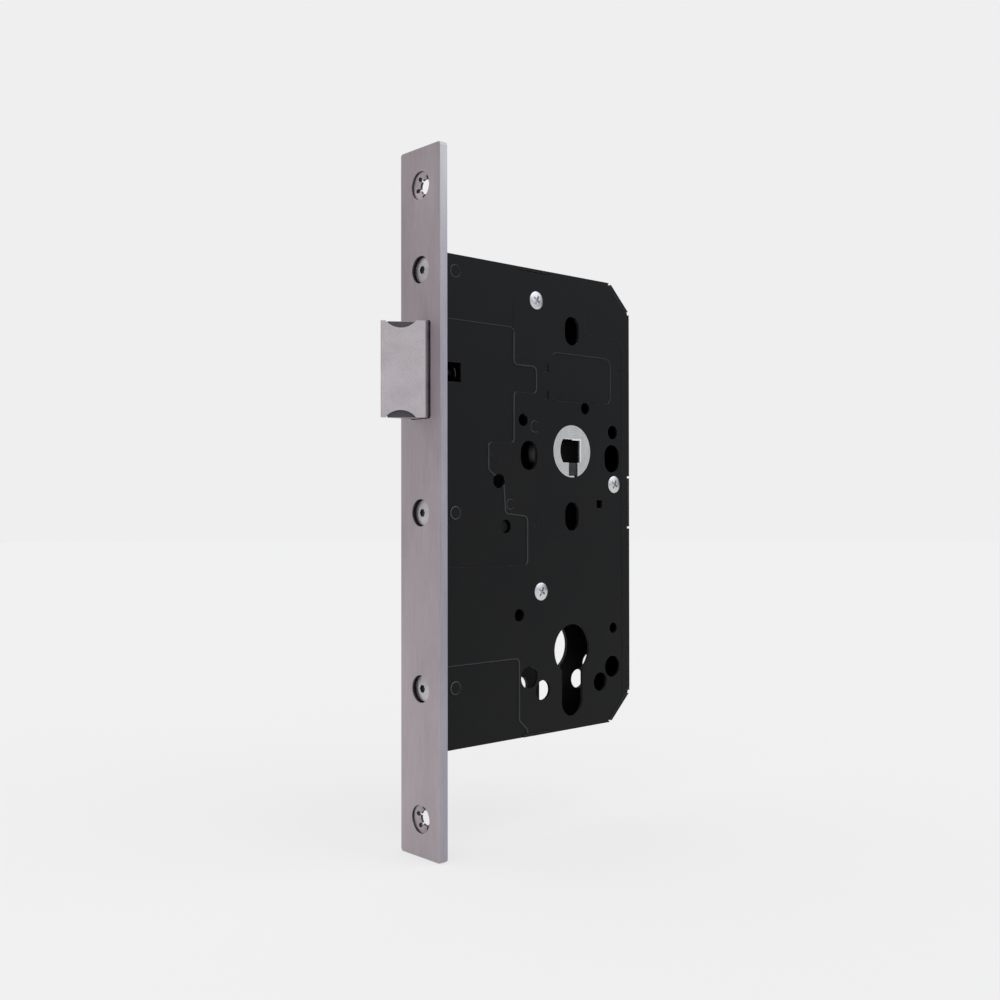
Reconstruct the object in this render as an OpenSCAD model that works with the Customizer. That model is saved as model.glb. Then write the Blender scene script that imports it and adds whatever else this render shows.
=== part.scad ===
// Euro-profile mortise lock with a sprung latch, worked by a spindle and by the key.
// Frame: origin at the middle of the faceplate's front face, +X into the door,
// +Y towards the far side of the case, +Z up. The cover is on the -Y side.

/* [Faceplate] */
// Length of the faceplate
plate_l = 235; // [225:1:260]
// Width of the faceplate
plate_w = 21; // [20:1:24]
// Thickness of the faceplate
plate_t = 3; // [3:0.5:4]
// Distance between the two fixing holes
fixing_pitch = 210; // [200:1:215]
// Diameter of the fixing holes' sink
fixing_head_d = 9.4; // [8:0.1:11]
// Clear diameter of the punched fixing hole
fixing_hole_d = 5; // [4:0.1:5.5]

/* [Case] */
// Height of the case
case_h = 165; // [163:1:170]
// Distance from the faceplate's front to the rear of the case
case_rear = 96; // [95:1:100]
// Outside thickness of the case
case_w = 13; // [13:0.5:14]
// Thickness of the sheet
sheet_t = 1.2; // [1:0.1:1.4]
// Length of the rear corners' chamfer along X
chamfer_x = 10.5; // [8:0.5:13]
// Length of the rear corners' chamfer along Z
chamfer_z = 10.2; // [8:0.1:12]
// Depth of the recesses pressed into the cover
press_d = 0.4; // [0.2:0.1:0.5]

/* [Hub and cylinder] */
// Backset, from the faceplate's front to the hub and the cylinder
backset = 65; // [64:1:66]
// Height of the hub's axis
hub_z = 18.5; // [18:0.5:19]
// Distance from the hub down to the cylinder
centres = 72; // [71:1:73]
// Side of the square spindle hole
square = 8.1; // [8:0.1:9]
// Diameter of the hub's collars
collar_d = 19; // [18.8:0.1:19.3]
// Diameter of the round part of the cylinder hole
profile_d = 18.2; // [17:0.1:18.4]
// Width of the narrow part of the cylinder hole
profile_w = 10.8; // [10.2:0.1:11]
// Height of the whole cylinder hole
profile_h = 33.4; // [33:0.1:34]

/* [Latch] */
// How far the latch stands out of the faceplate
latch_out = 12.8; // [11:0.1:13]
// Height of the latch
latch_h = 31.8; // [30:0.1:32.2]
// Width of the latch
latch_w = 9.3; // [9:0.1:9.6]
// Height of the latch's centre
latch_z = 43.5; // [43:0.5:44]

/* [Hidden] */
$fn = 64;

half_w = case_w / 2;                 // outer face of either plate
inner = half_w - sheet_t;            // inner face of either plate
top = case_h / 2;
cyl_z = hub_z - centres;             // axis of the cylinder hole
over = 1;                            // how far a cutter runs past a face

sink_deep = 1.1;                     // depth of the cover's countersinks
screw_seat_x = 2.2;                  // depth of the counterbores for the faceplate's screws

// Places of the pillars, pins and screws, as [x, z]
post_x = 9.9;
post_z = [77, -3.7, -62];
cover_screw_at = [[47.1, 71.5], [87.5, 6.7], [49.3, -31.8]];
spring_pin_at = [46.5, 26.8];
lever_post_at = [34.7, -0.8];
pivot_at = [32.7, -8.5];
guide_x = 51.9;                      // middle of the guide bracket
guide_tab_z = [38.4, 48];
guide_pin_at = [70.9, 50.2];

// Holes for handles and escutcheons, through both plates
slot_r = 3.6;
side_slot_r = 4.1;
slot_len = 10.5;
slot_top_z = 62.4;
slot_low_z = -5.2;
side_slot_z = 16.4;
side_pitch = 43;                     // between the two side slots
rose_wide_z = -61.7;
rose_wide_r = 4;
rose_near_z = -66.9;
rose_near_r = 3.55;
rose_near_pitch = 29.8;

// The latch train: both levers swing evenly about the upright, so they keep step
stroke = latch_out;
arm_r = 19;
arm_swing = asin(stroke / 2 / arm_r);
arm_tip_r = 2.4;
nose_z = 34;
nose_r = 2.6;
nose_x = pivot_at[0] - stroke / 2;
drive_pin_r = 2.4;
lever_pin_r = 1.6;
play = 0.2;
arm_tip = [backset - stroke / 2, hub_z + arm_r * cos(arm_swing)];
drive_pin_at = [arm_tip[0] + (arm_tip_r + drive_pin_r + play) / cos(arm_swing), arm_tip[1]];
lever_pin_at = [nose_x + nose_r + lever_pin_r + play, nose_z];
rod_r = 2.2;
latch_far = 4.8;                     // the latch's far side; the near side has the wider gap
latch_near = latch_far - latch_w;
head_back = 6.2;                     // rear face of the latch head

// Layers between the plates, along Y
flange_y = [-3.2, -0.2];
lever_y = [-0.2, 2.8];
tail_y = [3.1, 5.1];

steel = "#8b8488";
black = "#242425";
zinc = "#b4b6ba";
dark_steel = "#4a4b4e";
brass = "#b39650";

// ---- helpers ----

// A flat shape drawn in X and Z, made solid from y0 to y1
module slab(y0, y1) {
    translate([0, y1, 0]) rotate([90, 0, 0]) linear_extrude(y1 - y0) children();
}

// A round bar or hole along Y, at [x, z]
module across(at, r, y0, y1) {
    translate([at[0], y1, at[1]]) rotate([90, 0, 0]) cylinder(r = r, h = y1 - y0);
}

// A round bar or hole along X, at height z
module along(z, r, x0, x1) {
    translate([x0, 0, z]) rotate([0, 90, 0]) cylinder(r = r, h = x1 - x0);
}

// A cone along Y, from radius r0 at y0 to r1 at y1
module cone_across(at, r0, y0, r1, y1) {
    translate([at[0], y1, at[1]]) rotate([90, 0, 0]) cylinder(r1 = r1, r2 = r0, h = y1 - y0);
}

// An upright slot with round ends, of radius r and overall length len
module slot_across(at, r, len, y0, y1) {
    half = len / 2 - r;
    for (s = [-1, 1]) across([at[0], at[1] + s * half], r, y0, y1);
    slab(y0, y1) translate([at[0] - r, at[1] - half]) square([2 * r, 2 * half]);
}

// A flat strip of width w between two points
module strip(a, b, w) {
    d = b - a;
    translate(a) rotate(atan2(d[1], d[0])) translate([0, -w / 2]) square([norm(d), w]);
}

function unit(v) = v / norm(v);

// Points of a rounded corner at p, between its neighbours a and b
function corner(a, p, b, r, steps = 5) =
    let (u = unit(a - p), v = unit(b - p), half = acos(u * v) / 2)
    let (c = p + unit(u + v) * r / sin(half), d = r / tan(half))
    let (s = p + u * d - c, e = p + v * d - c)
    let (a0 = atan2(s[1], s[0]), turn = atan2(s[0] * e[1] - s[1] * e[0], s * e))
    [for (i = [0 : steps]) c + r * [cos(a0 + turn * i / steps), sin(a0 + turn * i / steps)]];

// An outline with every corner rounded to its own radius
function rounded(pts, radii) =
    let (n = len(pts))
    [for (i = [0 : n - 1]) each corner(pts[(i + n - 1) % n], pts[i], pts[(i + 1) % n], radii[i])];

// Outline of a strip of width w along a path, its ends reaching w / 2 past the path's
function ribbon(path, w) =
    let (n = len(path), h = w / 2)
    let (dirs = [for (i = [0 : n - 2]) unit(path[i + 1] - path[i])])
    let (sides = [for (d = dirs) [-d[1], d[0]]])
    let (mids = [for (i = [0 : n - 1])
        i == 0 ? path[0] - h * dirs[0] : i == n - 1 ? path[i] + h * dirs[i - 1] : path[i]])
    let (offs = [for (i = [0 : n - 1])
        let (m = sides[max(i - 1, 0)], k = sides[min(i, n - 2)])
        (m + k) * h / (1 + m * k)])
    concat([for (i = [0 : n - 1]) mids[i] - offs[i]], [for (i = [n - 1 : -1 : 0]) mids[i] + offs[i]]);

// A recess pressed into the cover's outer face, with corners of radius r
module pressed(pts, r, depth) {
    slab(-half_w - over, -half_w + depth) polygon(rounded(pts, [for (p = pts) r]));
}

// A wire swept along a path. axis is the direction that the wire winds about.
module wire(path, r, axis, sides = 8) {
    n = len(path);
    rings = [for (i = [0 : n - 1])
        let (a = path[max(i - 1, 0)], b = path[min(i + 1, n - 1)])
        let (t = unit(b - a), u = unit(cross(t, axis)), v = cross(t, u))
        [for (k = [0 : sides - 1]) path[i] + r * (cos(360 * k / sides) * u + sin(360 * k / sides) * v)]];
    polyhedron(
        points = [for (ring = rings) each ring],
        faces = concat(
            [[for (k = [0 : sides - 1]) k]],
            [[for (k = [0 : sides - 1]) n * sides - 1 - k]],
            [for (i = [0 : n - 2], k = [0 : sides - 1])
                let (a = i * sides + k, b = i * sides + (k + 1) % sides)
                each [[a, a + sides, b + sides], [a, b + sides, b]]]
        )
    );
}

// Points of a coil about Y through at, from angle a0 to a1 and from y0 to y1
function coil(at, r, a0, a1, y0, y1, step = 20) =
    let (n = ceil(abs(a1 - a0) / step))
    [for (i = [0 : n])
        let (a = a0 + (a1 - a0) * i / n)
        [at[0] + r * cos(a), y0 + (y1 - y0) * i / n, at[1] + r * sin(a)]];

// ---- fixed parts ----

module plate_outline() {
    corner_r = 1;
    y = plate_w / 2;
    z = plate_l / 2;
    polygon(rounded([[-y, -z], [y, -z], [y, z], [-y, z]], [corner_r, corner_r, corner_r, corner_r]));
}

// Sunk fixing hole with five punched notches; up is 1 or -1
module fixing_hole(z, up) {
    rim_deep = 0.9;                  // straight part of the sink
    sink_end = 2.1;                  // where its cone meets the hole
    notch_r = 0.75;
    notch_at = 3.2;                  // from the hole's axis to a notch's axis
    along(z, fixing_head_d / 2, -over, rim_deep);
    translate([rim_deep - 0.01, 0, z]) rotate([0, 90, 0])
        cylinder(r1 = fixing_head_d / 2 - 0.05, r2 = fixing_hole_d / 2, h = sink_end - rim_deep);
    along(z, fixing_hole_d / 2, -over, plate_t + over);
    for (k = [0 : 4]) {
        translate([-over, 0, z]) rotate([up * (17 + 72 * k), 0, 0]) translate([0, -notch_at, 0])
            rotate([0, 90, 0]) cylinder(r = notch_r, h = plate_t + 2 * over);
    }
}

module faceplate() {
    slot_y = latch_far + 0.6;
    slot_z = latch_h / 2 + 0.25;
    screw_head_d = 9.1;
    color(steel) difference() {
        rotate([90, 0, 90]) linear_extrude(plate_t) plate_outline();
        for (s = [-1, 1]) fixing_hole(s * fixing_pitch / 2, s);
        for (z = post_z) {
            along(z, screw_head_d / 2, -over, screw_seat_x);
            along(z, 2.2, -over, plate_t + over);
        }
        translate([-over, 0, latch_z]) rotate([90, 0, 90]) linear_extrude(plate_t + 2 * over)
            polygon(rounded([[-slot_y, -slot_z], [slot_y, -slot_z], [slot_y, slot_z], [-slot_y, slot_z]],
                [0.8, 0.8, 0.8, 0.8]));
    }
}

// Outline of the case in X and Z, moved in by inset; the chamfers move in by cut
module case_outline(inset, cut) {
    x0 = plate_t;
    x1 = case_rear - inset;
    z = top - inset;
    // a chamfer moved square to itself by cut shortens both legs by this much
    shift = cut * norm([chamfer_x, chamfer_z]) / chamfer_z - inset * (1 + chamfer_x / chamfer_z);
    cx = chamfer_x + shift;
    cz = cx * chamfer_z / chamfer_x;
    polygon([[x0, -z], [x1 - cx, -z], [x1, -z + cz], [x1, z - cz], [x1 - cx, z], [x0, z]]);
}

// Notches that free the folds at both ends of each chamfer
module fold_reliefs(w, depth) {
    for (s = [-1, 1]) {
        for (at = [[case_rear - chamfer_x, s * top, s * 65], [case_rear, s * (top - chamfer_z), s * 20]]) {
            translate([at[0], 0, at[1]]) rotate([0, -at[2], 0])
                translate([-depth, -case_w, -w / 2]) cube([2 * depth, 2 * case_w, w]);
        }
    }
}

// Holes that go through both plates
module through_holes(y0, y1) {
    across([backset, hub_z], collar_d / 2 + 0.05, y0, y1);
    for (z = [slot_top_z, slot_low_z]) slot_across([backset, z], slot_r, slot_len, y0, y1);
    for (s = [-1, 1]) {
        slot_across([backset + s * side_pitch / 2, side_slot_z], side_slot_r, slot_len, y0, y1);
        across([backset + s * side_pitch / 2, rose_wide_z], rose_wide_r, y0, y1);
        across([backset + s * rose_near_pitch / 2, rose_near_z], rose_near_r, y0, y1);
    }
    across([backset, cyl_z], profile_d / 2, y0, y1);
    narrow_r = profile_w / 2;
    narrow_z = cyl_z + profile_d / 2 - profile_h + narrow_r;
    across([backset, narrow_z], narrow_r, y0, y1);
    slab(y0, y1) translate([backset - narrow_r, narrow_z]) square([profile_w, cyl_z - narrow_z]);
}

// Holes in which the ends of the posts, pins and bracket tabs sit
module spigot_holes(y0, y1) {
    for (z = post_z) across([post_x, z], 2.25, y0, y1);
    across(spring_pin_at, 2.2, y0, y1);
    for (z = guide_tab_z) slab(y0, y1) translate([guide_x - 1.25, z - 1.75]) square([2.5, 3.5]);
}

// Tabs of the folded walls, which reach through the cover; grow widens them into their slots
tab_top_x = [37.8, 53.3];
tab_low_x = [40.6, 52.8];
tab_rear_z = 9.2;
module wall_tabs(grow, deep) {
    y0 = -half_w - grow;
    y1 = -inner + grow;
    for (t = [[tab_top_x, 1], [tab_low_x, -1]]) {
        span = t[0][1] - t[0][0] + 2 * grow;
        z = t[1] > 0 ? top - deep : -top - grow;
        translate([t[0][0] - grow, y0, z]) cube([span, y1 - y0, deep + grow]);
    }
    translate([case_rear - deep, y0, -tab_rear_z - grow * 3])
        cube([deep + grow, y1 - y0, 2 * (tab_rear_z + grow * 3)]);
}

module case_body() {
    color(black) difference() {
        union() {
            // far plate
            slab(inner, half_w) case_outline(0, 0);
            // walls along the top, the rear and the bottom, and the taller ones on the chamfers
            difference() {
                slab(-half_w, half_w) case_outline(0, 0);
                slab(-half_w - over, half_w + over) case_outline(sheet_t, sheet_t);
                slab(-half_w - over, -inner) case_outline(-over, sheet_t);
                translate([0, -half_w - over, -top]) cube([plate_t, case_w + 2 * over, case_h]);
            }
            intersection() {
                wall_tabs(0, sheet_t - 0.3);
                slab(-half_w, half_w) case_outline(0, 0);
            }
        }
        fold_reliefs(1.3, 1.1);
        through_holes(inner - over, half_w + over);
        spigot_holes(inner - over, half_w + over);
        for (at = concat([pivot_at, guide_pin_at], cover_screw_at)) {
            across(at, 2, inner - over, half_w + over);
        }
    }
}

// Areas pressed into the cover, as outlines in X and Z
latch_area = [
    [1, -22], [42.6, -22], [42.6, -5.2], [32.2, -4.2], [31.4, 6.2], [24.4, 11], [24.4, 20.6],
    [36.2, 20.6], [36.2, 38.6], [47, 38.6], [47, 47.8], [36.2, 47.8], [36.2, 60.8], [1, 60.8]
];
foot_area = [[1, -84], [42.5, -84], [42.5, -80], [38.6, -76.5], [38.6, -54.8], [1, -54.8]];
tail_area = [[54.6, 36.6], [85.6, 36.6], [85.6, 53.8], [54.6, 53.8]];

module cover_plate() {
    y0 = -half_w - over;
    y1 = -inner + over;
    edge_gap = 0.15;
    color(black) difference() {
        slab(-half_w, -inner) case_outline(0, sheet_t + edge_gap);
        through_holes(y0, y1);
        spigot_holes(y0, y1);
        wall_tabs(0.25, sheet_t);
        fold_reliefs(1.2, 0.9);
        pressed(latch_area, 1.6, press_d);
        pressed(foot_area, 1.6, press_d);
        pressed(tail_area, 3, press_d);
        // shallow shoulders that fade out, above the latch area and along the rear
        translate([1, -half_w, 75.3]) rotate([0.8, 0, 0]) translate([0, -over, -16])
            cube([35.2, over, 24]);
        translate([55, -half_w, 0]) rotate([0, 0, 0.28]) slab(-over, 0)
            polygon([[-5, -84], [37.3, -84], [37.3, 57.5], [34.6, 61.3], [16.8, 61.6], [16.8, 70.6], [-5, 70.6]]);
        // window behind the faceplate
        slab(y0, y1) translate([4.6, 40]) square([7.9, 6.5]);
        // assembly holes
        for (h = [[72, 34.5, 2.2], [40.7, 28.8, 2.25], [86.9, 26.3, 2.6], [29.4, 7.2, 2.5],
            [38.7, -39.6, 2.25], [87.1, -47.3, 2], [90.6, 50, 0.35]]) {
            across([h[0], h[1]], h[2], y0, y1);
        }
        across(pivot_at, 2.4, y0, y1);
        across(lever_post_at, 1.9, y0, y1);
        slab(y0, y1) translate([78.1, -2.2]) square([3, 3]);
        for (at = cover_screw_at) {
            across(at, 1.6, y0, y1);
            cone_across(at, 3.35, -half_w - 0.01, 1.6, -half_w + sink_deep);
        }
        // ring marks and a half-moon mark
        for (at = [[27.4, 15.2], [47.9, -8.4]]) difference() {
            across(at, 2.3, -half_w - over, -half_w + 0.2);
            across(at, 1.8, -half_w - 2 * over, -half_w + over);
        }
        translate([77.5, -half_w, -5.2]) rotate([-10, 0, 0]) slab(-over, 0)
            polygon([for (a = [180 : 15 : 360]) [2.8 * cos(a), 2.4 * sin(a)]]);
    }
}

module faceplate_screws() {
    head_r = 4.2;
    dome_r = 15;
    dome_x = 0.7;                    // the dome's top lies this far below the face
    rim_x = 1.25;
    socket_end = 1.7;
    color(zinc) for (z = post_z) difference() {
        union() {
            intersection() {
                along(z, head_r, dome_x - over, screw_seat_x);
                translate([dome_x + dome_r, 0, z]) sphere(r = dome_r);
            }
            along(z, head_r, rim_x, screw_seat_x);
            along(z, 2, screw_seat_x - 0.1, 12.4);
        }
        translate([0, 0, z]) rotate([90, 0, 90]) cylinder(d = 2.8, h = socket_end, $fn = 6);
    }
}

module faceplate_posts() {
    color(dark_steel) for (z = post_z) difference() {
        union() {
            across([post_x, z], 4, -inner, inner);
            across([post_x, z], 2.2, -half_w + 0.1, half_w - 0.1);
        }
        along(z, 2.05, post_x - 5, post_x + 2.6);
    }
}

// Runs its children, drawn as radius and depth below the cover's face, round the axis at [x, z]
module turned(at) {
    translate([at[0], -half_w, at[1]]) rotate([-90, 0, 0]) rotate_extrude() children();
}

module cover_screws() {
    head_r = 3.15;
    shank_r = 1.5;
    dome = 0.45;
    dome_r = (head_r * head_r + dome * dome) / (2 * dome);
    dome_steps = 5;
    profile = concat(
        [for (i = [0 : dome_steps])
            let (r = head_r * i / dome_steps)
            [r, dome_r - dome - sqrt(dome_r * dome_r - r * r)]],
        [[head_r, 0.05], [shank_r, sink_deep], [shank_r, half_w + 3], [0, half_w + 3]]
    );
    color(zinc) for (at = cover_screw_at) difference() {
        turned(at) polygon(profile);
        // cross recess
        for (a = [30, 120]) translate([at[0], -half_w - over, at[1]]) rotate([0, a, 0])
            translate([-1.7, 0, -0.35]) cube([3.4, over + 0.6, 0.7]);
    }
}

module cover_posts() {
    color(dark_steel) for (at = cover_screw_at) difference() {
        union() {
            across(at, 3.2, -inner, inner);
            across(at, 1.95, inner, half_w - 0.1);
        }
        across(at, 1.55, -inner - over, 3.4);
        cone_across(at, 1.75, -inner - 0.01, 1.55, -inner + 0.3);
    }
}

module latch_guide() {
    t = 2.4;
    z0 = 36.6;
    z1 = 49.8;
    color(dark_steel) difference() {
        union() {
            translate([guide_x - t / 2, -inner, z0]) cube([t, 2 * inner, z1 - z0]);
            // foot that holds the tail's strip against the far plate
            translate([guide_x - t / 2, -inner, 30.9]) cube([t, inner + tail_y[0] - 0.3, z0 - 30.9]);
            for (z = guide_tab_z) translate([guide_x - 1.2, -half_w + 0.3, z - 1.7])
                cube([2.4, case_w - 0.6, 3.4]);
        }
        along(latch_z, rod_r + 0.07, guide_x - t, guide_x + t);
    }
}

module spring_washer() {
    color(zinc) difference() {
        along(latch_z, 4.6, guide_x - 2, guide_x - 1.2);
        along(latch_z, rod_r + 0.1, guide_x - 3, guide_x);
    }
}

module tail_guide_pin() {
    color(zinc) {
        across(guide_pin_at, 2, tail_y[0] - 0.2, half_w);
        across(guide_pin_at, 3.1, tail_y[0] - 1.2, tail_y[0] - 0.2);
    }
}

module hub_spring_pin() {
    color(dark_steel) across(spring_pin_at, 2.15, -half_w + 0.15, half_w - 0.1);
}

module lever_spring_post() {
    color(dark_steel) {
        across(lever_post_at, 1.85, -half_w + 0.15, -0.9);
        across(lever_post_at, 2.5, -inner, -inner + 1);
    }
}

module key_lever_pin() {
    color(dark_steel) difference() {
        union() {
            across(pivot_at, 2, -half_w + 1.6, half_w - 0.1);
            across(pivot_at, 3.6, lever_y[1] + 0.1, inner);
        }
        // groove for the clip
        difference() {
            across(pivot_at, 3, -4.3, -3.6);
            across(pivot_at, 1.5, -5, -3);
        }
    }
}

module lever_clip() {
    color(dark_steel) difference() {
        across(pivot_at, 3.8, -4.25, -3.65);
        across(pivot_at, 1.52, -5, -3);
        translate([pivot_at[0] - 4.5, -5, pivot_at[1] - 1.3]) cube([4.5, 2, 2.6]);
    }
}

// ---- latch ----

module latch_head() {
    bevel_low = -1.4;                // where the bevel starts on the near side
    tip_w = 0.7;
    x0 = -latch_out;
    a = [bevel_low, latch_near];
    b = [x0, latch_far - tip_w];
    dir = unit(b - a);
    mid = (a + b) / 2 + 0.9 * dir;
    scoop_r = 6.5;
    scoop_sag = 2.4;
    scoop_deep = 2.2;
    flange_h = 36;
    color(zinc) difference() {
        union() {
            translate([0, 0, latch_z - latch_h / 2]) linear_extrude(latch_h)
                polygon(rounded(
                    [[head_back, latch_far], [x0, latch_far], b, a, [head_back, latch_near]],
                    [0.1, 0.25, 0.7, 0.3, 0.1]));
            translate([plate_t + 0.3, latch_near, latch_z - flange_h / 2])
                cube([head_back - plate_t - 0.3, latch_w, flange_h]);
        }
        // shallow scoops in the bevel's top and bottom edges
        for (s = [-1, 1]) {
            translate([mid[0], mid[1], latch_z + s * (latch_h / 2 + scoop_r - scoop_sag)])
                rotate([0, 0, atan2(dir[1], dir[0]) - 90]) rotate([0, -90, 0])
                    translate([0, 0, -scoop_deep]) cylinder(r = scoop_r, h = 8);
        }
        along(latch_z, rod_r, -3, head_back + over);
        across([4.4, latch_z], 1, latch_near - over, latch_far + over);
    }
}

module latch_rod() {
    color(zinc) difference() {
        union() {
            along(latch_z, rod_r, -3, 58.5);
            along(latch_z, 2.8, 58.4, 59.4);
        }
        across([4.4, latch_z], 1, -3, 3);
    }
}

module latch_rod_pin() {
    color(dark_steel) across([4.4, latch_z], 1, latch_near + 0.1, latch_far - 0.1);
}

module latch_tail() {
    lug_x = [56, 58.4];
    pts = [
        [27.4, 31.5], [60.5, 31.5], [62, 32.4], [69.5, 32.4], [74.5, 37.4],
        [74.5, 54.6], [54.8, 54.6], [54.8, 36.2], [27.4, 36.2]
    ];
    color(dark_steel) difference() {
        union() {
            slab(tail_y[0], tail_y[1]) polygon(rounded(pts, [1.5, 0.5, 0.5, 2, 2, 3, 3, 0.5, 1.5]));
            translate([lug_x[0], -3, 40.5]) cube([lug_x[1] - lug_x[0], tail_y[1] + 3, 6]);
        }
        along(latch_z, rod_r, lug_x[0] - over, lug_x[1] + over);
        // slot for the fixed guide pin, as long as the latch's travel
        for (dx = [0, -stroke]) {
            across([guide_pin_at[0] + dx, guide_pin_at[1]], 2.1, tail_y[0] - over, tail_y[1] + over);
        }
        slab(tail_y[0] - over, tail_y[1] + over)
            translate([guide_pin_at[0] - stroke, guide_pin_at[1] - 2.1]) square([stroke, 4.2]);
        across(drive_pin_at, drive_pin_r, 0, half_w);
        across(lever_pin_at, lever_pin_r, 0, half_w);
    }
}

module tail_drive_pins() {
    color(zinc) {
        across(drive_pin_at, drive_pin_r, lever_y[0] - 0.6, tail_y[1]);
        across(lever_pin_at, lever_pin_r, lever_y[0] - 0.6, tail_y[1]);
    }
}

module latch_spring() {
    turns = 12;
    x0 = head_back + 0.6;
    x1 = guide_x - 2.6;
    r = 3.6;
    steps = 14 * turns;
    color(zinc) wire([for (i = [0 : steps])
        let (a = 360 * turns * i / steps)
        [x0 + (x1 - x0) * i / steps, r * cos(a), latch_z + r * sin(a)]], 0.5, [1, 0, 0]);
}

// ---- hub ----

hub_at = [backset, hub_z];
flange_r = 13.2;
rivet_ring_r = 11.45;
rivet_angles = [200, 300, 20];

// Runs its children at each rivet's place in the hub
function rivet_at(a) = hub_at + rivet_ring_r * [cos(a), sin(a)];

clamp_low = 8.9;                     // how far the clamp's pocket reaches below the axis
clamp_x = [-1.7, 2.85];              // the pocket's sides, from the axis

module hub() {
    relief_r = 7.2;
    relief_at = hub_at + [1.2, 0.2];
    relief_z = [-4.1, 4.4];
    color(zinc) difference() {
        union() {
            across(hub_at, collar_d / 2, -half_w, half_w);
            across(hub_at, flange_r, flange_y[0], flange_y[1]);
        }
        translate([backset - square / 2, -half_w - over, hub_z - square / 2])
            cube([square, case_w + 2 * over, square]);
        // relief in the near collar, on the square's front side
        intersection() {
            across(relief_at, relief_r, -half_w - over, flange_y[0]);
            translate([backset - relief_r, -half_w - over, hub_z + relief_z[0]])
                cube([relief_r, half_w + over, relief_z[1] - relief_z[0]]);
        }
        // pocket for the spindle clamp, open to the rim on one side
        translate([backset + clamp_x[0], -half_w - over, hub_z - clamp_low])
            cube([clamp_x[1] - clamp_x[0], case_w + 2 * over, clamp_low]);
        translate([backset + 1.2, -half_w - over, hub_z - 10.5]) cube([1.6, 1.8 + over, 4]);
        for (a = rivet_angles) across(rivet_at(a), 1, flange_y[0] - over, flange_y[1] + over);
    }
}

module spindle_clamp() {
    gap = 0.1;
    color(dark_steel) translate([backset + clamp_x[0] + gap, -half_w + 0.5, hub_z - clamp_low + gap])
        cube([clamp_x[1] - clamp_x[0] - 2 * gap, case_w - 1, clamp_low - square / 2 - 2 * gap]);
}

module hub_arm() {
    hook_r = 12.3;
    hook = hub_at + hook_r * [-sin(arm_swing), cos(arm_swing)];
    color(dark_steel) difference() {
        union() {
            across(hub_at, flange_r, lever_y[0], lever_y[1]);
            slab(lever_y[0], lever_y[1]) {
                strip(hub_at, arm_tip, 2 * arm_tip_r);
                translate(arm_tip) circle(r = arm_tip_r);
            }
        }
        across(hub_at, collar_d / 2, lever_y[0] - over, lever_y[1] + over);
        for (a = rivet_angles) across(rivet_at(a), 1, lever_y[0] - over, lever_y[1] + over);
        across(hook, 0.55, lever_y[0] - over, lever_y[1] + over);
    }
}

module hub_rivets() {
    color(zinc) for (a = rivet_angles) {
        across(rivet_at(a), 1, flange_y[0] - 0.1, lever_y[1]);
        across(rivet_at(a), 1.7, flange_y[0] - 0.8, flange_y[0]);
    }
}

module hub_spring() {
    r = 10.55;
    wire_r = 0.4;
    y0 = 3.3;
    y1 = 4.8;
    hook_a = 90 + arm_swing;
    hook = hub_at + 12.3 * [-sin(arm_swing), cos(arm_swing)];
    leg_z = spring_pin_at[1] - 2.15 - wire_r - 0.1;
    leg_a = 180 - asin((leg_z - hub_z) / r);
    // a coil of nearly two turns, its last stretch drawn out to the hook
    turn = coil(hub_at, r, hook_a - 40, leg_a - 720, y0, y1);
    lead = [[hook[0], y0, hook[1]], [hub_at[0] + 11.4 * cos(hook_a - 18), y0, hub_at[1] + 11.4 * sin(hook_a - 18)]];
    leg = [[backset - 13, y1, leg_z], [spring_pin_at[0] - 2.2, y1, leg_z]];
    color(zinc) {
        wire(concat(lead, turn, leg), wire_r, [0, 1, 0]);
        across(hook, wire_r, 1, y0 + 0.3);
    }
}

// ---- key lever ----

module key_lever() {
    path = [[nose_x, nose_z], [28, 12], pivot_at, [36.5, -31], [42, -40], [57.5, -41.5]];
    end_r = nose_r - 0.02;
    bend_r = 4;
    radii = [end_r, bend_r, bend_r, bend_r, bend_r, end_r];
    reversed_radii = [for (i = [len(radii) - 1 : -1 : 0]) radii[i]];
    color(dark_steel) difference() {
        slab(lever_y[0], lever_y[1]) {
            translate(pivot_at) circle(r = 5);
            polygon(rounded(ribbon(path, 2 * nose_r), concat(radii, reversed_radii)));
        }
        across(pivot_at, 3, lever_y[0] - over, lever_y[1] + over);
        across([34.2, -19.5], 0.6, lever_y[0] - over, lever_y[1] + over);
    }
}

module key_lever_bush() {
    color(brass) difference() {
        across(pivot_at, 3, lever_y[0], lever_y[1]);
        across(pivot_at, 2.05, lever_y[0] - over, lever_y[1] + over);
    }
}

module key_lever_spring() {
    r = 2.9;
    wire_r = 0.4;
    y0 = -3;
    y1 = -0.75;
    fixed = [[33.1, y0, 1.6], [29.9, y0, -6.9]];
    turns = coil(pivot_at, r, 180, 180 - 900, y0, y1);
    hook = [[35.5, y1, -10.5], [34.2, y1, -19.5]];
    color(zinc) {
        wire(concat(fixed, turns, hook), wire_r, [0, 1, 0]);
        across([34.2, -19.5], wire_r, y1 - 0.2, 1.5);
    }
}

faceplate();
case_body();
cover_plate();
faceplate_screws();
faceplate_posts();
cover_screws();
cover_posts();
latch_guide();
spring_washer();
tail_guide_pin();
hub_spring_pin();
lever_spring_post();
key_lever_pin();
lever_clip();
latch_head();
latch_rod();
latch_rod_pin();
latch_tail();
tail_drive_pins();
latch_spring();
hub();
hub_arm();
hub_rivets();
spindle_clamp();
hub_spring();
key_lever();
key_lever_bush();
key_lever_spring();
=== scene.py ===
"""Looks for a euro-profile mortise lock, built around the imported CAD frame."""
import math

import bmesh
import bpy
from mathutils import Matrix, Vector


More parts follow.
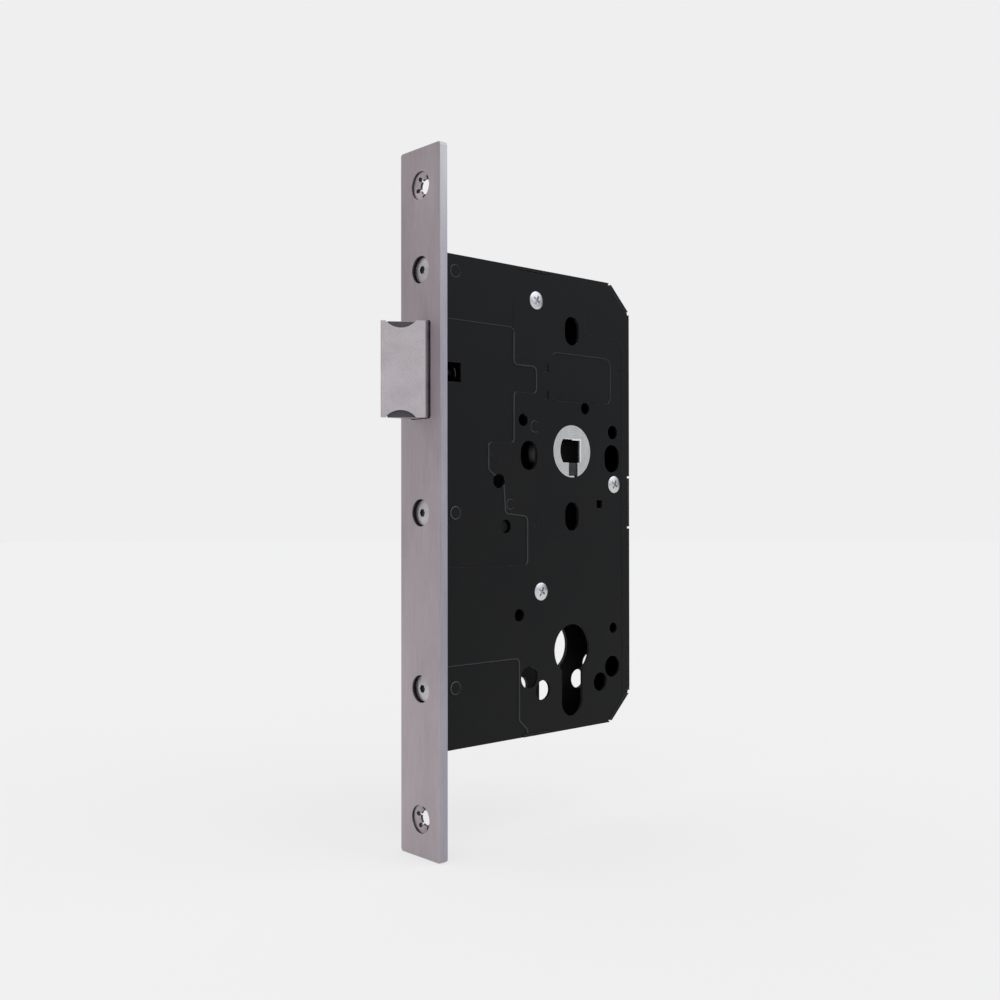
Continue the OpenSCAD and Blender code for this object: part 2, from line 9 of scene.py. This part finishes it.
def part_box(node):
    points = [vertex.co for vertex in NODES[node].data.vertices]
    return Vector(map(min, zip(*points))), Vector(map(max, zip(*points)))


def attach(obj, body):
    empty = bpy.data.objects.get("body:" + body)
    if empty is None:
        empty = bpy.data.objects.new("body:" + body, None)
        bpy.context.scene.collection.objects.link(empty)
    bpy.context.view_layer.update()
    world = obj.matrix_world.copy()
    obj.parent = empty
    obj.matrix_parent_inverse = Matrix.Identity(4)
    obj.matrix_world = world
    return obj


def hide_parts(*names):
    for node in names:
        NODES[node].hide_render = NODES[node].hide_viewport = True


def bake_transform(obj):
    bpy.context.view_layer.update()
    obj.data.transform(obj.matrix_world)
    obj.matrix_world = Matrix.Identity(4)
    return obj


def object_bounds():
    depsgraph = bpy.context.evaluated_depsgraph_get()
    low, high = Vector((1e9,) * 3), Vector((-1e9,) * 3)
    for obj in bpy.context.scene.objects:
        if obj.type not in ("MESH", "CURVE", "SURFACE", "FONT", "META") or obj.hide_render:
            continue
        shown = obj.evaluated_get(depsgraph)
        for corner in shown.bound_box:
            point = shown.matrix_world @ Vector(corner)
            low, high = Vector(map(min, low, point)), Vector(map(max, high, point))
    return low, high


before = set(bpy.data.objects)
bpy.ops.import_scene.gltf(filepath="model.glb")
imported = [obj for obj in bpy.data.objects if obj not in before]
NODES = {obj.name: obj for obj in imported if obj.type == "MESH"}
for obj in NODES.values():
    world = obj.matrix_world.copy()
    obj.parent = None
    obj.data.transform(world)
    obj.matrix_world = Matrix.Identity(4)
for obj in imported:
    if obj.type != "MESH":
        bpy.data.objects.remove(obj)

MM = 0.001
EDGE_SLOT = 1                        # material slot of the faces that round an edge
SLOPE_SLOT = 2                       # material slot of the cover's lit slopes
cad_box = [list(corner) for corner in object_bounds()]


# ---- node helpers ----

class Graph:
    """A material's node tree, with short calls for the nodes used here."""

    def __init__(self, name):
        self.mat = bpy.data.materials.new(name)
        self.mat.use_nodes = True
        self.tree = self.mat.node_tree
        self.tree.nodes.clear()
        self.out = self.add("ShaderNodeOutputMaterial")
        self.bsdf = self.add("ShaderNodeBsdfPrincipled")
        self.link(self.bsdf.outputs["BSDF"], self.out.inputs["Surface"])
        self.place = self.add("ShaderNodeTexCoord").outputs["Object"]

    def add(self, kind, **settings):
        node = self.tree.nodes.new(kind)
        for key, value in settings.items():
            setattr(node, key, value)
        return node

    def link(self, a, b):
        self.tree.links.new(a, b)

    def feed(self, socket, value):
        """A socket takes a link or a plain value."""
        if isinstance(value, bpy.types.NodeSocket):
            self.link(value, socket)
        else:
            socket.default_value = value

    def mapped(self, scale, shift=(0, 0, 0)):
        """The object's own coordinates, scaled and then shifted."""
        node = self.add("ShaderNodeMapping")
        node.inputs["Scale"].default_value = scale
        node.inputs["Location"].default_value = shift
        self.link(self.place, node.inputs["Vector"])
        return node.outputs["Vector"]

    def noise(self, scale, detail=3.0, rough=0.5, warp=0.0, shift=(0, 0, 0)):
        """Noise from 0 to 1. scale is features per metre, one number or one for each axis."""
        if isinstance(scale, (int, float)):
            scale = (scale, scale, scale)
        node = self.add("ShaderNodeTexNoise")
        self.link(self.mapped(scale, shift), node.inputs["Vector"])
        node.inputs["Scale"].default_value = 1.0
        node.inputs["Detail"].default_value = detail
        node.inputs["Roughness"].default_value = rough
        node.inputs["Distortion"].default_value = warp
        return node.outputs["Fac"]

    def cells(self, scale):
        """Distance to the nearest of a field of random points, about scale of them per metre."""
        node = self.add("ShaderNodeTexVoronoi", feature="F1")
        self.link(self.mapped((scale, scale, scale)), node.inputs["Vector"])
        node.inputs["Scale"].default_value = 1.0
        return node.outputs["Distance"]

    def math(self, op, a, b=0.0):
        node = self.add("ShaderNodeMath", operation=op)
        self.feed(node.inputs[0], a)
        self.feed(node.inputs[1], b)
        return node.outputs[0]

    def spread(self, value, low, high, out_low=0.0, out_high=1.0):
        """value from low..high to out_low..out_high, held at both ends."""
        node = self.add("ShaderNodeMapRange")
        node.clamp = True
        self.feed(node.inputs["Value"], value)
        node.inputs["From Min"].default_value = low
        node.inputs["From Max"].default_value = high
        node.inputs["To Min"].default_value = out_low
        node.inputs["To Max"].default_value = out_high
        return node.outputs["Result"]

    def axes(self):
        """The object's X, Y and Z as three sockets, in metres."""
        split = self.add("ShaderNodeSeparateXYZ")
        self.link(self.place, split.inputs[0])
        return split.outputs["X"], split.outputs["Y"], split.outputs["Z"]

    def facing(self):
        """How squarely a face looks along X: 0 on a wall that runs along X, 1 on a face across it."""
        split = self.add("ShaderNodeSeparateXYZ")
        self.link(self.add("ShaderNodeTexCoord").outputs["Normal"], split.inputs[0])
        return self.math("ABSOLUTE", split.outputs["X"])

    def near_posts(self, reach):
        """1 within reach of the axis of a faceplate screw, which all run along X."""
        _, y, z = self.axes()
        total = None
        for centre in SCREW_Z:
            off = self.math("SUBTRACT", z, centre)
            radius = self.math("SQRT", self.math("ADD", self.product(y, y), self.product(off, off)))
            share = self.spread(radius, reach - 0.1 * MM, reach + 0.1 * MM, 1, 0)
            total = share if total is None else self.math("MAXIMUM", total, share)
        return total

    def product(self, *terms):
        total = terms[0]
        for term in terms[1:]:
            total = self.math("MULTIPLY", total, term)
        return total

    def total(self, *terms):
        total = terms[0]
        for term in terms[1:]:
            total = self.math("ADD", total, term)
        return total

    def darken(self, color, share, factor):
        """color, times factor where share is 1."""
        return self.blend(share, color, self.blend(1.0, color, (factor, factor, factor), mode="MULTIPLY"))

    def blend(self, share, a, b, mode="MIX"):
        """Colour a where share is 0, and b where it is 1."""
        node = self.add("ShaderNodeMix", data_type="RGBA", blend_type=mode)
        self.feed(node.inputs["Factor"], share)
        self.feed(node.inputs["A"], (*a, 1.0) if isinstance(a, tuple) else a)
        self.feed(node.inputs["B"], (*b, 1.0) if isinstance(b, tuple) else b)
        return node.outputs["Result"]

    def bump(self, height, distance, strength, under=None):
        """A bumped normal, on top of the one given as under."""
        node = self.add("ShaderNodeBump")
        node.inputs["Strength"].default_value = strength
        node.inputs["Distance"].default_value = distance
        self.link(height, node.inputs["Height"])
        if under is not None:
            self.link(under, node.inputs["Normal"])
        return node.outputs["Normal"]

    def finish(self, color, rough, normal=None, metal=0.0, specular=0.5):
        sockets = self.bsdf.inputs
        self.feed(sockets["Base Color"], color)
        self.feed(sockets["Roughness"], rough)
        sockets["Metallic"].default_value = metal
        sockets["Specular IOR Level"].default_value = specular
        if normal is not None:
            self.link(normal, sockets["Normal"])
        return self.mat


# ---- materials ----

def brushed_steel(half_width):
    """Faceplate: satin stainless, its grain running up and down, with painted shade on the walls of its
    holes.
    """
    g = Graph("brushed_steel")
    x, y, z = g.axes()
    off_middle = g.math("ABSOLUTE", y)
    shaded_hole_wall = g.product(g.spread(x, 0.12 * MM, 0.40 * MM),
                          g.spread(off_middle, half_width - 0.7 * MM, half_width - 0.4 * MM, 1, 0),
                          g.spread(g.facing(), 0.30, 0.12))
    grain = g.noise((3200, 3200, 45), detail=4, rough=0.62)
    hair = g.noise((9000, 9000, 160), detail=2, rough=0.5, shift=(3, 1, 7))
    cloud = g.noise((70, 70, 22), detail=4, rough=0.55, warp=0.4)
    speck = g.noise(2600, detail=2, rough=0.7)
    mixed = g.total(g.spread(grain, 0.32, 0.68, -0.5, 0.5), g.spread(hair, 0.3, 0.7, -0.35, 0.35),
                    g.spread(cloud, 0.3, 0.7, -0.45, 0.45), g.spread(speck, 0.35, 0.65, -0.2, 0.2))
    tone = g.spread(mixed, -1.2, 1.2)
    color = g.blend(tone, (0.325, 0.278, 0.301), (0.515, 0.465, 0.495))
    # painted sheen: the long edges are cooler in tone than the front and painted lighter, more so towards the
    # top
    low_edge = g.blend(tone, (0.290, 0.277, 0.320), (0.440, 0.421, 0.480))
    high_edge = g.blend(tone, (0.425, 0.415, 0.425), (0.610, 0.595, 0.610))
    high = g.spread(z, 35 * MM, 110 * MM)
    on_edge = g.spread(off_middle, half_width - 0.18 * MM, half_width - 0.08 * MM)
    color = g.blend(on_edge, color, g.blend(g.product(high, high), low_edge, high_edge))
    # painted shade: the walls of the holes are darkened
    color = g.darken(color, shaded_hole_wall, 0.16)
    rough = g.spread(g.total(grain, g.math("MULTIPLY", cloud, 0.6)), 0.55, 1.05, 0.34, 0.50)
    lines = g.bump(g.total(grain, g.math("MULTIPLY", hair, 0.5)), 0.05 * MM, 0.35)
    return g.finish(color, rough, lines, metal=1.0)


def black_coat(name="black_coat", lift=1.0, rough_by=0.0):
    """Case and cover: semi-matte black coat over sheet steel, lift times as light as the plain one; a lift
    above 1 makes a copy that is a painted highlight.
    """
    g = Graph(name)
    peel = g.noise(900, detail=3, rough=0.55)
    grit = g.noise(4200, detail=2, rough=0.6)
    cloud = g.noise(38, detail=4, rough=0.6, warp=0.5)
    rub = g.noise((60, 60, 420), detail=4, rough=0.65, warp=0.3, shift=(2, 5, 1))
    tone = g.spread(g.total(cloud, g.math("MULTIPLY", grit, 0.5)), 0.45, 1.05)
    color = g.blend(tone, (0.0040 * lift, 0.0044 * lift, 0.0049 * lift),
                    (0.0068 * lift, 0.0069 * lift, 0.0072 * lift))
    worn = g.spread(rub, 0.66, 0.78)
    color = g.blend(g.math("MULTIPLY", worn, 0.35), color, (0.016, 0.016, 0.0165))
    rough = g.spread(g.total(cloud, g.math("MULTIPLY", peel, 0.5)), 0.5, 1.0,
                     0.40 + rough_by, 0.54 + rough_by)
    skin = g.bump(grit, 0.03 * MM, 0.3, under=g.bump(peel, 0.08 * MM, 0.35))
    return g.finish(color, rough, skin, specular=0.13 * min(lift, 2.0))


def metal_grain(name, dark, light, rough, scale, axis=None, painted_shade=None):
    """Plain metal with a fine grain, cloudy tone and small pits; axis 0, 1 or 2 draws the grain out.

    The last argument takes the graph and gives the share of a place that is darkened as painted shade, such
    as the walls of a recess.
    """
    g = Graph(name)
    stretch = [scale, scale, scale]
    if axis is not None:
        stretch[axis] = scale / 30
    grain = g.noise(tuple(stretch), detail=4, rough=0.6)
    cloud = g.noise(110, detail=4, rough=0.6, warp=0.5)
    pits = g.spread(g.cells(1400), 0.06, 0.16)
    tone = g.spread(g.total(grain, g.math("MULTIPLY", cloud, 0.8)), 0.6, 1.2)
    color = g.blend(tone, dark, light)
    in_pit = g.math("MULTIPLY", g.math("SUBTRACT", 1.0, pits), 0.35)
    color = g.blend(in_pit, color, tuple(c * 0.45 for c in dark))
    # painted shade where that share is 1
    if painted_shade is not None:
        color = g.darken(color, painted_shade(g), 0.20)
    roughness = g.spread(g.total(grain, cloud), 0.75, 1.25, rough[0], rough[1])
    skin = g.bump(pits, 0.03 * MM, 0.25, under=g.bump(grain, 0.04 * MM, 0.4))
    return g.finish(color, roughness, skin, metal=1.0)


def turned_zinc(name, centre, near_y):
    """Hub: die-cast zinc, turned about the Y axis through centre. Its near face lies at near_y."""
    half = 4.0 * MM                  # of the square
    turn_step = 0.9 * MM             # from one ring of the turning to the next
    fine_step = 0.31 * MM
    g = Graph(name)
    split = g.add("ShaderNodeSeparateXYZ")
    g.link(g.mapped((1, 1, 1), (-centre[0], 0, -centre[2])), split.inputs[0])
    across, up = split.outputs["X"], split.outputs["Z"]
    radius = g.math("SQRT", g.total(g.product(across, across), g.product(up, up)))
    depth = g.math("SUBTRACT", g.axes()[1], near_y)
    wobble = g.noise(500, detail=2)
    phase = g.total(g.math("MULTIPLY", radius, 2 * math.pi / turn_step), g.math("MULTIPLY", wobble, 1.6))
    rings = g.spread(g.math("SINE", phase), -1, 1)
    fine = g.spread(g.math("SINE", g.math("MULTIPLY", radius, 2 * math.pi / fine_step)), -1, 1)
    grain = g.noise(1800, detail=4, rough=0.6)
    cloud = g.noise(160, detail=3, rough=0.6)
    tone = g.spread(g.total(grain, cloud, g.math("MULTIPLY", rings, 0.45)), 0.7, 1.75)
    color = g.blend(tone, (0.44, 0.44, 0.44), (0.65, 0.66, 0.65))
    # painted shade: the bore behind the hub's near face is darkened
    shaded_bore = g.product(g.spread(depth, 0.45 * MM, 0.75 * MM), g.spread(radius, 8.6 * MM, 9.0 * MM, 1, 0))
    color = g.darken(color, shaded_bore, 0.06)
    # painted highlight: the rear and top edges of the square are painted bright
    out = g.math("MAXIMUM", across, up)
    painted_glint = g.product(g.spread(out, half - 0.1 * MM, half + 0.05 * MM),
                       g.spread(out, half + 0.5 * MM, half + 0.7 * MM, 1, 0),
                       g.spread(across, -half, -half + 0.3 * MM), g.spread(up, -half, -half + 0.3 * MM),
                       g.spread(depth, 0.5 * MM, 0.6 * MM, 1, 0))
    color = g.blend(painted_glint, color, (0.88, 0.88, 0.90))
    # painted shade: what lies between the case's two plates is darkened, where the closed case shades it
    inside = g.product(g.spread(depth, 1.3 * MM, 1.6 * MM), g.spread(depth, 11.4 * MM, 11.7 * MM, 1, 0))
    color = g.darken(color, inside, 0.12)
    rough = g.spread(g.total(grain, g.math("MULTIPLY", fine, 0.25)), 0.4, 0.85, 0.36, 0.50)
    skin = g.bump(g.total(rings, g.math("MULTIPLY", fine, 0.4)), 0.04 * MM, 0.35,
                  under=g.bump(grain, 0.04 * MM, 0.35))
    return g.finish(color, rough, skin, metal=1.0)


# ---- modifiers that round the CAD's edges ----

def object_of(node):
    """A CAD node's object from its name, or a piece as it is."""
    return NODES[node] if isinstance(node, str) else node


def soften(node, width, segments=2, edge_slot=None, flat=0.4):
    """Rounds a CAD node's or a piece's edges by width, in millimetres, and keeps its flats flat.

    flat is the angle in degrees under which faces are joined first, and 0 leaves them.
    """
    obj = object_of(node)
    weld = obj.modifiers.new("weld", "WELD")
    weld.merge_threshold = 1e-6
    if flat:
        plane = obj.modifiers.new("plane", "DECIMATE")
        plane.decimate_type = "DISSOLVE"
        plane.angle_limit = math.radians(flat)
    bevel = obj.modifiers.new("bevel", "BEVEL")
    bevel.width = width * MM
    bevel.segments = segments
    bevel.limit_method = "ANGLE"
    bevel.angle_limit = math.radians(32)
    bevel.harden_normals = False
    bevel.miter_outer = "MITER_ARC"
    if edge_slot is not None:
        bevel.material = edge_slot
    normals = obj.modifiers.new("normals", "WEIGHTED_NORMAL")
    normals.keep_sharp = False
    normals.weight = 60
    for poly in obj.data.polygons:
        poly.use_smooth = True


def pressed_cover(name):
    """The cover, copied from its CAD node, with the steps round its pressed areas drawn out into slopes."""
    press_deep = 0.4 * MM
    shoulder = 0.75 * press_deep     # a step starts above this depth
    near = 0.01 * MM
    mesh = bmesh.new()
    mesh.from_mesh(NODES["cover_plate"].data)
    bmesh.ops.remove_doubles(mesh, verts=mesh.verts, dist=1e-6)
    bmesh.ops.dissolve_limit(mesh, angle_limit=math.radians(0.4), verts=mesh.verts, edges=mesh.edges)
    mesh.normal_update()
    face_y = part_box("cover_plate")[0][1]

    def depths(part):
        return [v.co.y - face_y for v in part.verts]

    def is_step(face):
        deep = depths(face)
        return abs(face.normal.y) < 0.05 and abs(max(deep) - press_deep) < near and min(deep) < shoulder

    def rims(low, high):
        """Edges along the steps, with their deeper end between two depths."""
        edges = [e for e in mesh.edges if low <= max(depths(e)) < high]
        return [e for e in edges if {is_step(f) for f in e.link_faces} == {True, False}]

    # steps that start on the flat face, then those that start on a shallow shoulder
    for low, high, slope in ((-near, near, 0.34 * MM), (near, shoulder, 0.17 * MM)):
        bmesh.ops.bevel(mesh, geom=rims(low, high), offset=slope, offset_type="OFFSET", segments=2,
                        profile=0.5, affect="EDGES", clamp_overlap=False, material=SLOPE_SLOT)
        mesh.normal_update()
    # only the slopes at the top and the rear of an area catch light, so the others take the plain coat
    for face in mesh.faces:
        if abs(face.normal.y) < 0.3 and max(depths(face)) < press_deep + near:
            face.material_index = SLOPE_SLOT
        if face.material_index == SLOPE_SLOT and min(face.normal.x, face.normal.z) > -0.25:
            face.material_index = 0
    data = bpy.data.meshes.new(name)
    mesh.to_mesh(data)
    mesh.free()
    cover = bpy.data.objects.new(name, data)
    bpy.context.scene.collection.objects.link(cover)
    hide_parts("cover_plate")
    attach(cover, "lock_case")
    return cover


def paint(node, *mats):
    """Gives an object its materials. Clearing an empty list would reset its faces' slots."""
    obj = object_of(node)
    if obj.data.materials:
        obj.data.materials.clear()
    for mat in mats:
        obj.data.materials.append(mat)


def middle(node):
    """The middle of a node's box."""
    low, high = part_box(node)
    return [(low[i] + high[i]) / 2 for i in range(3)]


def socket_walls(g):
    """Share of a faceplate screw that is the inside of its socket, darkened there as painted shade."""
    low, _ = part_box("faceplate_screws")
    x, _, _ = g.axes()
    return g.product(g.spread(x, low[0] + 0.12 * MM, low[0] + 0.3 * MM),
                     g.spread(x, low[0] + 1.0 * MM, low[0] + 1.1 * MM, 1, 0), g.near_posts(1.45 * MM))


def scoop_walls(g):
    """Share of the latch that is scoop wall: behind the bevel and inside the latch's height, darkened there
    as painted shade.
    """
    low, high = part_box("latch_head")
    tip = Vector((low[0], high[1] - TIP_W))
    heel = Vector((HEEL_X, low[1]))
    along = (tip - heel).normalized()
    outward = Vector((-along.y, along.x))
    x, y, z = g.axes()
    reach = g.math("ADD", g.math("MULTIPLY", x, outward.x), g.math("MULTIPLY", y, outward.y))
    behind = g.math("SUBTRACT", outward.dot(heel), reach)
    from_middle = g.math("ABSOLUTE", g.math("SUBTRACT", z, LATCH_Z))
    return g.product(g.spread(behind, 0.25 * MM, 0.9 * MM),
                     g.spread(from_middle, 15.7 * MM, 15.95 * MM, 1, 0),
                     g.spread(x, -1.2 * MM, -1.6 * MM))


def island_middles(node, axis):
    """Middles along an axis of the separate solids of a node, from lowest to highest."""
    values = sorted(v.co[axis] for v in NODES[node].data.vertices)
    groups = [[values[0]]]
    for value in values[1:]:
        if value - groups[-1][-1] > 5 * MM:
            groups.append([])
        groups[-1].append(value)
    return [(group[0] + group[-1]) / 2 for group in groups]


SCREW_Z = island_middles("faceplate_screws", 2)
HEEL_X = -1.4 * MM                   # where the latch's bevel starts
TIP_W = 0.7 * MM                     # flat left at the latch's tip
LATCH_Z = middle("latch_head")[2]
PLATE_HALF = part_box("faceplate")[1][1]

STEEL = brushed_steel(PLATE_HALF)
BLACK = black_coat()
# painted highlight: lighter copies of the coat for rounded edges and for the cover's lit slopes
BLACK_EDGE_HIGHLIGHT = black_coat("black_coat_edge_highlight", lift=26.0, rough_by=-0.10)
BLACK_SLOPE = black_coat("black_coat_slope", lift=6.5, rough_by=-0.05)
LATCH = metal_grain("latch_metal", (0.475, 0.438, 0.470), (0.62, 0.580, 0.615), (0.34, 0.46), 2200,
                    painted_shade=scoop_walls)
HUB = turned_zinc("hub_zinc", middle("hub"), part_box("hub")[0][1])
ZINC = metal_grain("screw_zinc", (0.52, 0.52, 0.53), (0.78, 0.78, 0.79), (0.24, 0.38), 1600)
SCREW = metal_grain("plate_screw_zinc", (0.40, 0.385, 0.40), (0.60, 0.585, 0.60), (0.26, 0.40), 1500,
                    painted_shade=socket_walls)
# the parts inside the case are dark steel, painted darker still as the shade of the closed case
INNER = metal_grain("inner_steel", (0.035, 0.035, 0.037), (0.08, 0.08, 0.08), (0.36, 0.52), 1100, axis=0)
LEVER = metal_grain("lever_steel", (0.06, 0.06, 0.06), (0.13, 0.128, 0.125), (0.34, 0.50), 1100, axis=2)
WIRE = metal_grain("spring_wire", (0.03, 0.03, 0.031), (0.07, 0.07, 0.07), (0.26, 0.38), 2600)
ROD = metal_grain("rod_steel", (0.03, 0.03, 0.031), (0.07, 0.07, 0.07), (0.28, 0.42), 1600, axis=0)
BRASS = metal_grain("brass", (0.50, 0.36, 0.13), (0.74, 0.56, 0.24), (0.26, 0.40), 1500)

paint("faceplate", STEEL)
cover = pressed_cover("pressed_cover")
paint(cover, BLACK, BLACK_EDGE_HIGHLIGHT, BLACK_SLOPE)
paint("case_body", BLACK, BLACK_EDGE_HIGHLIGHT)
for name in ("cover_screws", "tail_guide_pin", "hub_rivets", "tail_drive_pins"):
    paint(name, ZINC)
paint("faceplate_screws", SCREW)
for name in ("faceplate_posts", "latch_guide", "hub_spring_pin", "lever_spring_post"):
    paint(name, BLACK, BLACK_EDGE_HIGHLIGHT)
paint("key_lever_pin", BLACK)
for name in ("cover_posts", "lever_clip", "latch_rod_pin", "spindle_clamp", "latch_tail", "spring_washer"):
    paint(name, INNER)
for name in ("hub_arm", "key_lever"):
    paint(name, LEVER)
paint("latch_rod", ROD)
paint("key_lever_bush", BRASS)
paint("latch_head", LATCH)
paint("hub", HUB)

soften("faceplate", 0.22)
soften(cover, 0.18, edge_slot=EDGE_SLOT, flat=0)
soften("case_body", 0.19, segments=3, edge_slot=EDGE_SLOT)
soften("latch_head", 0.3)
soften("hub", 0.45)
for name in ("faceplate_posts", "latch_guide", "hub_spring_pin", "lever_spring_post"):
    soften(name, 0.15, edge_slot=EDGE_SLOT)
soften("key_lever_pin", 0.15)
for name in ("faceplate_screws", "cover_screws", "cover_posts", "latch_tail", "hub_arm", "key_lever",
             "spindle_clamp", "tail_guide_pin", "hub_rivets", "latch_rod", "lever_clip", "tail_drive_pins",
             "spring_washer", "key_lever_bush", "latch_rod_pin"):
    soften(name, 0.12)


# ---- springs: smooth wire in place of the CAD springs ----

def add_spring(node, name, body, fixed_end, moving_end):
    """Smooth wire that stands for a CAD spring; the two places in the frame that it is given are not used."""
    mesh = bmesh.new()
    mesh.from_mesh(NODES[node].data)
    bmesh.ops.remove_doubles(mesh, verts=mesh.verts, dist=1e-6)
    bmesh.ops.recalc_face_normals(mesh, faces=mesh.faces)
    bmesh.ops.join_triangles(mesh, faces=mesh.faces, angle_face_threshold=math.radians(50),
                             angle_shape_threshold=math.radians(60))
    data = bpy.data.meshes.new(name)
    mesh.to_mesh(data)
    mesh.free()
    for poly in data.polygons:
        poly.use_smooth = True
    data.materials.append(WIRE)
    spring = bpy.data.objects.new(name, data)
    bpy.context.scene.collection.objects.link(spring)
    smooth = spring.modifiers.new("smooth", "SUBSURF")
    smooth.levels = 1
    smooth.render_levels = 1
    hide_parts(node)
    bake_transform(spring)


def spring_ends(node, axis, margin, fixed_high):
    """Two points at a spring's ends along an axis, moved in by margin: the fixed end, then the moving one."""
    low, high = (Vector(corner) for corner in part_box(node))
    ends = [(low + high) / 2, (low + high) / 2]
    ends[0][axis] = low[axis] + margin
    ends[1][axis] = high[axis] - margin
    return tuple(reversed(ends)) if fixed_high else tuple(ends)


WIRE_D = 0.8 * MM                    # of the two coil springs whose leg stays put
add_spring("latch_spring", "latch_spring_wire", "latch", *spring_ends("latch_spring", 0, 1.2 * MM, True))
top_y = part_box("hub_spring")[1][1]
mid = Vector(middle("hub_spring"))
add_spring("hub_spring", "hub_spring_wire", "follower",
           (mid.x, top_y - WIRE_D, mid.z), (mid.x, top_y - 1.5 * MM, mid.z))
low_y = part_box("key_lever_spring")[0][1]
mid = Vector(middle("key_lever_spring"))
add_spring("key_lever_spring", "key_lever_spring_wire", "key_lever",
           (mid.x, low_y + WIRE_D, mid.z), (mid.x, low_y + 2.25 * MM, mid.z))


# ---- camera, light and floor ----

LENS = 41.94
CAMERA_AT = Vector((-238.4, -304.7, -2.3)) * MM
CAMERA_TURN = (41.95, 0.42, -0.065)  # degrees: yaw from +Y towards +X, pitch up, roll


def add_camera():
    data = bpy.data.cameras.new("camera")
    data.lens = LENS
    data.sensor_width = 36.0
    data.clip_start = 0.01
    cam = bpy.data.objects.new("camera", data)
    bpy.context.scene.collection.objects.link(cam)
    yaw, pitch, roll = (math.radians(a) for a in CAMERA_TURN)
    ahead = Vector((math.sin(yaw) * math.cos(pitch), math.cos(yaw) * math.cos(pitch), math.sin(pitch)))
    right = Vector((math.cos(yaw), -math.sin(yaw), 0.0))
    up = right.cross(ahead)
    turn = Matrix((right, up, -ahead)).transposed().to_4x4() @ Matrix.Rotation(roll, 4, "Z")
    cam.matrix_world = Matrix.Translation(CAMERA_AT) @ turn
    bpy.context.scene.camera = cam


def add_world():
    """Soft light from the front, from above and from a box at the right; the camera sees plain pale grey."""
    world = bpy.data.worlds.new("studio")
    bpy.context.scene.world = world
    world.use_nodes = True
    tree = world.node_tree
    tree.nodes.clear()
    new, link = tree.nodes.new, tree.links.new
    coords = new("ShaderNodeTexCoord").outputs["Generated"]

    def toward(direction):
        dot = new("ShaderNodeVectorMath")
        dot.operation = "DOT_PRODUCT"
        link(coords, dot.inputs[0])
        dot.inputs[1].default_value = Vector(direction).normalized()
        return dot.outputs["Value"]

    def ramp(value, *limits):
        node = new("ShaderNodeMapRange")
        node.interpolation_type = "SMOOTHSTEP"
        link(value, node.inputs["Value"])
        for key, number in zip(("From Min", "From Max", "To Min", "To Max"), limits):
            node.inputs[key].default_value = number
        return node.outputs["Result"]

    def tinted(value, tint):
        node = new("ShaderNodeVectorMath")
        node.operation = "SCALE"
        node.inputs[0].default_value = tint
        link(value, node.inputs["Scale"])
        return node.outputs["Vector"]

    def total(a, b):
        node = new("ShaderNodeVectorMath")
        node.operation = "ADD"
        link(a, node.inputs[0])
        link(b, node.inputs[1])
        return node.outputs["Vector"]

    front = tinted(ramp(toward((-0.95, -0.30, 0.0)), -1.0, 0.6, 0.12, 0.62), (1.0, 0.985, 0.99))
    over = tinted(ramp(toward((0, 0, 1)), 0.10, 0.95, 0.0, 0.75), (1.0, 1.0, 1.0))
    right = tinted(ramp(toward((0.52, -0.62, 0.58)), 0.74, 1.0, 0.0, 0.95), (0.94, 1.0, 1.10))
    lit = new("ShaderNodeBackground")
    link(total(total(front, over), right), lit.inputs["Color"])
    seen = new("ShaderNodeBackground")
    seen.inputs["Color"].default_value = (0.863, 0.863, 0.863, 1)
    mix = new("ShaderNodeMixShader")
    link(new("ShaderNodeLightPath").outputs["Is Camera Ray"], mix.inputs[0])
    link(lit.outputs[0], mix.inputs[1])
    link(seen.outputs[0], mix.inputs[2])
    link(mix.outputs[0], new("ShaderNodeOutputWorld").inputs["Surface"])


def add_floor():
    """A wide pale disc just under the lock, with a glow of its own, so that it fades into the backdrop."""
    under = (50 * MM, 0, cad_box[0][2] - 0.2 * MM)
    bpy.ops.mesh.primitive_circle_add(vertices=96, radius=4.0, fill_type="NGON", location=under)
    floor = bpy.context.object
    floor.name = "floor"
    g = Graph("floor_white")
    cloud = g.noise(6, detail=3)
    color = g.blend(cloud, (0.215, 0.215, 0.215), (0.225, 0.225, 0.225))
    g.bsdf.inputs["Emission Color"].default_value = (1, 1, 1, 1)
    g.bsdf.inputs["Emission Strength"].default_value = 0.64
    floor.data.materials.append(g.finish(color, 0.7, specular=0.0))


bpy.context.scene.view_settings.view_transform = "Standard"
add_camera()
add_world()
add_floor()
